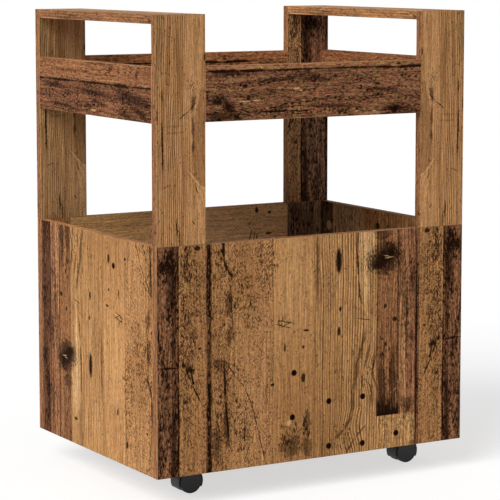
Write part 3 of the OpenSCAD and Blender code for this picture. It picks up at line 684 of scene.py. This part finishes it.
def lie(tree, point, s_way, t_way, s0, t0):
    """Place on a sheet, in mm, of a point on the cart. s_way and t_way are directions on the cart."""
    s_way, t_way = Vector(s_way), Vector(t_way)
    turn = Matrix((s_way, t_way, s_way.cross(t_way))).to_euler()
    local = put(tree, "Mapping", {"Vector": point, "Location": (s0, t0, 0), "Rotation": turn,
                                  "Scale": IN_MM}, vector_type="POINT")
    return put(tree, "VectorMath", {0: local, 1: (1, 1, 0)}, operation="MULTIPLY")


def facing(tree, normal, way):
    """1 where the surface faces that way."""
    toward = put(tree, "VectorMath", {0: normal, 1: way}, out="Value", operation="DOT_PRODUCT")
    return put(tree, "Math", {0: toward, 1: 0.9}, operation="GREATER_THAN")


def below_faces(tree, point, piece):
    """How far a point lies below the flat faces of a board, in mm: under the nearest face, and under the
    second nearest, which is small only along the edges."""
    corners = [Vector(corner) for corner in piece.bound_box]
    half = (corners[6] - corners[0]) / 2
    local = put(tree, "VectorMath", {0: point, 1: (corners[0] + corners[6]) / 2}, operation="SUBTRACT")
    local = put(tree, "VectorMath", {0: local}, operation="ABSOLUTE")
    local = put(tree, "VectorMath", {0: half, 1: local}, operation="SUBTRACT")
    local = put(tree, "VectorMath", {0: local, 1: IN_MM}, operation="MULTIPLY")
    x, y, z = put(tree, "SeparateXYZ", {"Vector": local}).node.outputs
    low, high = [put(tree, "Math", {0: x, 1: y}, operation=way) for way in ("MINIMUM", "MAXIMUM")]
    nearest = put(tree, "Math", {0: low, 1: z}, operation="MINIMUM")
    second = put(tree, "Math", {0: high, 1: z}, operation="MINIMUM")
    return nearest, put(tree, "Math", {0: low, 1: second}, operation="MAXIMUM")


def at_place(tree, sheet, place):
    """Colour and depth of a sheet at a place on it."""
    outputs = put(tree, "Group", {"Place": place}, node_tree=sheet).node.outputs
    return outputs["Color"], outputs["Depth"]


def lay_over(tree, mask, under, over):
    """Colour and depth of what lies over where the mask is 1, and of what is under it elsewhere."""
    colour = put(tree, "Mix", {"Factor": mask, "A": under[0], "B": over[0]}, data_type="RGBA")
    depth = put(tree, "Mix", {"Factor": mask, "A": under[1], "B": over[1]}, data_type="FLOAT")
    return colour, depth


def banding(tree, where, outward, way):
    """Colour and depth of the edge band, which runs along the board's edges and round its ends."""
    along = lie(tree, where["Object"], outward, way, 0, 0)
    round_the_end = lie(tree, where["Object"], outward, outward.cross(way), 0, 0)
    is_end = put(tree, "Math", {0: facing(tree, where["Normal"], way),
                                1: facing(tree, where["Normal"], -way)}, operation="ADD")
    strip = put(tree, "Mix", {"Factor": is_end, "A": along, "B": round_the_end}, data_type="VECTOR")
    return at_place(tree, edge_band, strip)


def with_painted_light(tree, colour, is_outer, is_face, tints):
    """The colour times painted light: one factor each for the outer face, the inner face and the band, which
    lightens or darkens it as light and shade would.
    """
    outer, inner, band = [(*tint, 1) for tint in tints]
    tint = put(tree, "Mix", {"Factor": is_outer, "A": inner, "B": outer}, data_type="RGBA")
    tint = put(tree, "Mix", {"Factor": is_face, "A": band, "B": tint}, data_type="RGBA")
    return put(tree, "Mix", {"Factor": 1.0, "A": colour, "B": tint}, data_type="RGBA", blend_type="MULTIPLY")


# %% A board's laminate
def board_finish(name, piece, sheet, outward, outer, inner, band_way, fold=None, tints=AS_PRINTED):
    """A laminate for one board. outer and inner say how its two broad faces lie on the sheet, and fold
    moves places on the outer one. tints are painted light: factors on the colour of the outer face, the
    inner face and the band, against the sheet's own, that lighten or darken them as light and shade would."""
    material, tree = fresh_material(name)
    where = tree.nodes.new("ShaderNodeTexCoord").outputs
    outward = Vector(outward)
    is_outer = facing(tree, where["Normal"], outward)
    is_face = put(tree, "Math", {0: is_outer, 1: facing(tree, where["Normal"], -outward)}, operation="ADD")
    outer_place = lie(tree, where["Object"], *outer)
    if fold:
        outer_place = fold(tree, where["Object"], outer_place)
    inner_place = lie(tree, where["Object"], *inner)
    place = put(tree, "Mix", {"Factor": is_outer, "A": inner_place, "B": outer_place}, data_type="VECTOR")
    band = banding(tree, where, outward, Vector(band_way))
    colour, depth = lay_over(tree, is_face, band, at_place(tree, sheet, place))
    # painted light: each face's colour is lightened or darkened by its tint
    colour = with_painted_light(tree, colour, is_outer, is_face, tints)
    under, edge = below_faces(tree, where["Object"], piece)
    # The edges are rubbed paler, and the same paler strip is a painted highlight where a rounded edge would
    # catch the light.
    nicks = grain(tree, place, 2, 7, detail=3, seed=17)
    edge = put(tree, "Math", {0: nicks, 1: -NICK_MM, 2: edge}, operation="MULTIPLY_ADD")
    rubbed_and_highlit = put(tree, "MapRange", {"Value": edge, "From Min": RUBBED_HIGHLIGHT_MM[0], "From Max": RUBBED_HIGHLIGHT_MM[1],
                                    "To Max": 0.4})
    colour = ink(tree, colour, rubbed_and_highlit, EDGE_RUBBED_HIGHLIT)
    raw = put(tree, "Math", {0: under, 1: SKIN_MM}, operation="GREATER_THAN")
    colour, depth = lay_over(tree, raw, (colour, depth), at_place(tree, chipboard, where["Object"]))
    pressed = put(tree, "Bump", {"Height": depth, "Strength": 0.35, "Distance": PRESSED_MM * mm},
                  invert=True)
    shine = put(tree, "MapRange", {"Value": depth, "To Min": SATIN - 0.04, "To Max": SATIN + 0.12})
    shine = put(tree, "Math", {0: rubbed_and_highlit, 1: -0.3, 2: shine}, operation="MULTIPLY_ADD")
    skin = put(tree, "BsdfPrincipled", {"Base Color": colour, "Roughness": shine, "Normal": pressed,
                                        "Specular IOR Level": MELAMINE_SPECULAR})
    put(tree, "OutputMaterial", {"Surface": skin})
    return material


def dress(name, material):
    """Gives a piece of the cart its finish."""
    for slot in nodes[name].material_slots:
        slot.material = material


def laminate(node, name, *how, **more):
    """Makes a board's own laminate and gives it to the board."""
    dress(node, board_finish(name, nodes[node], *how, **more))
    print(node, "wears", name)


# %% The bin's walls
END_STRIP = 210.0
STRIP_ORIGIN = 180.0
HALF_WIDTH = round(cad_box[1][0] / mm)
CART_TOP = round(cad_box[1][2] / mm)
BIN_TOP = round(max(corner[2] for corner in nodes["front_panel"].bound_box) / mm)
print("half width", HALF_WIDTH, "top", CART_TOP, "top of the bin", BIN_TOP)


def mirrored_ends(tree, point, outer_place):
    """Beyond the uprights' inner edges the front shows the same strip at both ends, mirrored."""
    x = put(tree, "SeparateXYZ", {"Vector": point}, out="X")
    x = put(tree, "Math", {0: x, 1: 1 / mm}, operation="MULTIPLY")
    far = put(tree, "Math", {0: x}, operation="ABSOLUTE")
    at_end = put(tree, "Math", {0: far, 1: END_STRIP}, operation="GREATER_THAN")
    s = put(tree, "Math", {0: STRIP_ORIGIN, 1: far}, operation="SUBTRACT")
    t = put(tree, "SeparateXYZ", {"Vector": outer_place}, out="Y")
    strip = put(tree, "CombineXYZ", {"X": s, "Y": t})
    return put(tree, "Mix", {"Factor": at_end, "A": outer_place, "B": strip}, data_type="VECTOR")


RIGHT, LEFT, BACK, FRONT, UP, DOWN = (1, 0, 0), (-1, 0, 0), (0, 1, 0), (0, -1, 0), (0, 0, 1), (0, 0, -1)

inner_wall = (RIGHT, DOWN, 985, BIN_TOP)
inner_end = (FRONT, DOWN, 1510, BIN_TOP)

laminate("front_panel", "old_wood_front", wall_sheet, FRONT, (RIGHT, DOWN, HALF_WIDTH, BIN_TOP),
         inner_wall, RIGHT, mirrored_ends)
# The back panel's inner face and the left side's band carry painted light: their tints lighten them against
# the print.
laminate("back_panel", "old_wood_back", wall_sheet, BACK, (LEFT, DOWN, HALF_WIDTH, BIN_TOP),
         inner_wall, RIGHT, mirrored_ends, tints=(PLAIN, (1.2, 1.17, 1.2), PLAIN))
laminate("left_side_panel", "old_wood_left", wall_sheet, LEFT, (BACK, UP, 330, -154), inner_end, BACK,
         tints=(PLAIN, PLAIN, (1.6, 1.65, 1.45)))
laminate("right_side_panel", "old_wood_right", wall_sheet, RIGHT, (FRONT, UP, 330, -154), inner_end, BACK)
for name in ("bottom_panel", "tray_floor"):
    laminate(name, "old_wood_" + name, wall_sheet, UP, (BACK, RIGHT, 320, 120),
             (BACK, LEFT, 320, 120), RIGHT)

# %% The uprights and handle rails
from_left = (RIGHT, DOWN, HALF_WIDTH, CART_TOP)
from_right = (LEFT, DOWN, HALF_WIDTH, CART_TOP)
left_rail = (RIGHT, BACK, HALF_WIDTH, 180)
right_rail = (LEFT, BACK, HALF_WIDTH, 180)

laminate("front_left_upright", "pine_front_left", upright_sheet, FRONT, from_left, from_left, UP)
laminate("front_right_upright", "pine_front_right", upright_sheet, FRONT, from_right, from_right, UP)
# The back uprights' inner faces carry painted light: their tints lighten them and make them greyer and bluer.
laminate("back_left_upright", "pine_back_left", upright_sheet, BACK, from_left, from_left, UP,
         tints=(PLAIN, (0.98, 1.08, 1.16), PLAIN))
laminate("back_right_upright", "old_wood_back_right", wall_sheet, BACK, (LEFT, DOWN, 200, CART_TOP),
         (LEFT, DOWN, 160, CART_TOP), UP, tints=(PLAIN, (1.2, 1.38, 1.65), PLAIN))
laminate("left_handle_rail", "pine_left_rail", upright_sheet, UP, left_rail, left_rail, BACK)
# The right rail's band carries painted light: its tint lightens it.
laminate("right_handle_rail", "pine_right_rail", upright_sheet, UP, right_rail, right_rail, BACK,
         tints=(PLAIN, PLAIN, (1.4, 1.48, 1.42)))

# %% The tray's boards
# The tray boards' tints are painted light: the left board's outer face is darkened, and the other tinted
# faces are lightened.
laminate("tray_front_board", "old_beam_front", tray_sheet, FRONT, (DOWN, RIGHT, 708, 210),
         (DOWN, LEFT, 660, 300), RIGHT, tints=(PLAIN, PLAIN, (1.3, 1.35, 1.2)))
laminate("tray_back_board", "old_beam_back", tray_sheet, BACK, (DOWN, LEFT, 708, 210),
         (DOWN, RIGHT, 700, 300), RIGHT, tints=(PLAIN, (1.35, 1.32, 1.25), PLAIN))
laminate("tray_left_board", "old_beam_left", tray_sheet, LEFT, (DOWN, FRONT, 682, 810),
         (DOWN, BACK, 690, 400), BACK, tints=((0.85, 0.79, 0.77), PLAIN, (1.45, 1.5, 1.5)))
laminate("tray_right_board", "old_beam_right", tray_sheet, RIGHT, (DOWN, BACK, 682, 810),
         (DOWN, FRONT, 670, 400), BACK, tints=(PLAIN, (1.1, 1.06, 1.02), PLAIN))

# %% [markdown]
# ## The casters
# Hoods and wheels are injection-moulded nylon. The mould was spark-eroded, which leaves a fine even grain,
# so the black is satin and never mirrors. Handling dulls it in patches. The treads have rolled over a
# floor: they carry a grey film of dust and are scuffed along the way they roll.

# %% Moulded nylon
NYLON_BLACK = "#131416"
NYLON_DULLED = "#202123"
FLOOR_DUST = "#3a3734"
MOULD_GRAIN_MM = 0.7
TREAD_MM = (18.9, 19.8)


def mm_place(tree, piece):
    """Place on a piece in mm, measured from the middle of its box, and the surface's own normal."""
    corners = [Vector(corner) for corner in piece.bound_box]
    where = tree.nodes.new("ShaderNodeTexCoord").outputs
    middle = (corners[0] + corners[6]) / 2
    local = put(tree, "VectorMath", {0: where["Object"], 1: middle}, operation="SUBTRACT")
    return put(tree, "VectorMath", {0: local, "Scale": 1 / mm}, operation="SCALE"), where["Normal"]


def moulded_nylon(name, piece, rolls):
    """Black nylon with a mould grain of about half a millimetre, drawn a little coarser to stay visible."""
    material, tree = fresh_material(name)
    place, normal = mm_place(tree, piece)
    skin = grain(tree, place, MOULD_GRAIN_MM, MOULD_GRAIN_MM, detail=3, seed=2)
    handled = step_up(tree, grain(tree, place, 9, 9, detail=4, seed=5), 0.45, 0.7)
    colour = ink(tree, hex_colour(NYLON_BLACK), handled, NYLON_DULLED)
    rough = put(tree, "MapRange", {"Value": handled, "To Min": 0.42, "To Max": 0.58})
    if rolls:
        flat = put(tree, "VectorMath", {0: place, 1: (1, 0, 1)}, operation="MULTIPLY")
        radius = put(tree, "VectorMath", {0: flat}, out="Value", operation="LENGTH")
        tread = step_up(tree, radius, *TREAD_MM)
        scuffs = grain(tree, place, 1.5, 0.4, detail=4, seed=8)
        dusty = put(tree, "Math", {0: tread, 1: step_up(tree, scuffs, 0.35, 0.65)}, operation="MULTIPLY")
        colour = ink(tree, colour, dusty, FLOOR_DUST)
        rough = put(tree, "Math", {0: dusty, 1: 0.25, 2: rough}, operation="MULTIPLY_ADD")
    bumps = put(tree, "Bump", {"Height": skin, "Strength": 0.3, "Distance": 0.05 * mm})
    shader = put(tree, "BsdfPrincipled", {"Base Color": colour, "Roughness": rough, "Normal": bumps,
                                          "IOR": 1.53, "Specular IOR Level": 0.35})
    put(tree, "OutputMaterial", {"Surface": shader})
    return material


moulded = [name for name in nodes if name.endswith(("wheel", "hood"))]
for name in moulded:
    dress(name, moulded_nylon("nylon_" + name, nodes[name], name.endswith("wheel")))
print(len(moulded), "pieces of black nylon")

# %% [markdown]
# ## The fittings
# Plates, pins, axles, screws and bolts are zinc-plated steel. Plating leaves soft blue-grey clouds, and the
# passivation over them turns a little yellow in places. The cams are cast from zinc, duller and with a
# mottled skin. Dowels are turned from beech, which shows short dark flecks. The caps over the cams are
# matt plastic. Those on the side boards are pale, so that one shows as a light disc in the dark of the
# bin, and those on the front and back boards are as dark as the planks round them.

# %% Plated steel and cast zinc
def cart_mm(tree):
    """Place on the cart in mm."""
    point = tree.nodes.new("ShaderNodeTexCoord").outputs["Object"]
    return put(tree, "VectorMath", {0: point, "Scale": 1 / mm}, operation="SCALE")


def cloudy_metal(name, tints, rough, cloud_mm, pit_mm, pit_depth):
    """Metal with clouds of three tints and a pitted skin. rough is its smallest and largest roughness."""
    material, tree = fresh_material(name)
    place = cart_mm(tree)
    clouds = grain(tree, place, cloud_mm, cloud_mm, detail=4, seed=3)
    stains = grain(tree, place, 2.5 * cloud_mm, 2.5 * cloud_mm, detail=3, seed=6)
    colour = ink(tree, hex_colour(tints[0]), step_up(tree, clouds, 0.35, 0.65), tints[1])
    colour = ink(tree, colour, step_up(tree, stains, 0.5, 0.75, 0.5), tints[2])
    shine = put(tree, "MapRange", {"Value": clouds, "From Min": 0.3, "From Max": 0.7, "To Min": rough[0],
                                   "To Max": rough[1]})
    pits = grain(tree, place, pit_mm, pit_mm, detail=3, seed=9)
    bumps = put(tree, "Bump", {"Height": pits, "Strength": 0.4, "Distance": pit_depth * mm})
    shader = put(tree, "BsdfPrincipled", {"Base Color": colour, "Metallic": 1.0, "Roughness": shine,
                                          "Normal": bumps})
    put(tree, "OutputMaterial", {"Surface": shader})
    return material


steel = cloudy_metal("zinc_plated_steel", ("#b9bec4", "#a4abb3", "#b8b193"), (0.26, 0.42), 2.2, 0.5, 0.02)
zinc = cloudy_metal("die_cast_zinc", ("#a7a8a9", "#8d8f91", "#777878"), (0.42, 0.62), 1.6, 0.8, 0.06)
plated = [name for name in nodes if name.endswith(("axle", "plate", "ring", "pin", "cam_bolts", "screws"))]
for name in plated:
    dress(name, steel)
dress("cams", zinc)
print(len(plated), "plated pieces")

# %% Turned beech and matt caps
SIDE_BOARDS_MM = 200.0
DARK_CAP = "#685541"


def matt_solid(name, tints, fleck_mm, rough, dent_mm, beyond=None):
    """A matt material of two tones with flecks of a third one. beyond is the tone of the pieces on the
    front and back boards, which lie further out than those on the side boards."""
    material, tree = fresh_material(name)
    place = cart_mm(tree)
    drift = grain(tree, place, 3, 3, detail=4, seed=2)
    colour = ink(tree, hex_colour(tints[0]), step_up(tree, drift, 0.35, 0.65), tints[1])
    if beyond:
        out = put(tree, "SeparateXYZ", {"Vector": place}, out="Y")
        out = put(tree, "Math", {0: out}, operation="ABSOLUTE")
        out = put(tree, "Math", {0: out, 1: SIDE_BOARDS_MM}, operation="GREATER_THAN")
        colour = ink(tree, colour, out, beyond)
    flecks = step_up(tree, scatter(tree, place, *fleck_mm, 0, 4), 0.68, 0.78, 0.7)
    colour = ink(tree, colour, flecks, tints[2])
    shine = put(tree, "MapRange", {"Value": drift, "From Min": 0.3, "From Max": 0.7, "To Min": rough - 0.06,
                                   "To Max": rough + 0.06})
    dents = grain(tree, place, dent_mm, dent_mm, detail=3, seed=7)
    bumps = put(tree, "Bump", {"Height": dents, "Strength": 0.3, "Distance": 0.06 * mm})
    shader = put(tree, "BsdfPrincipled", {"Base Color": colour, "Roughness": shine, "Normal": bumps,
                                          "Specular IOR Level": 0.3})
    put(tree, "OutputMaterial", {"Surface": shader})
    return material


dress("wood_dowels", matt_solid("turned_beech", ("#d0ad82", "#c39c6e", "#9a7448"), (0.5, 2.2), 0.72, 0.5))
dress("cam_cover_caps", matt_solid("moulded_cap", ("#cba987", "#bd9a76", "#9f7b5a"), (1.2, 1.2), 0.6, 0.6,
                                   DARK_CAP))
print(len({m.name for n in nodes.values() for m in n.data.materials}), "materials on the cart")
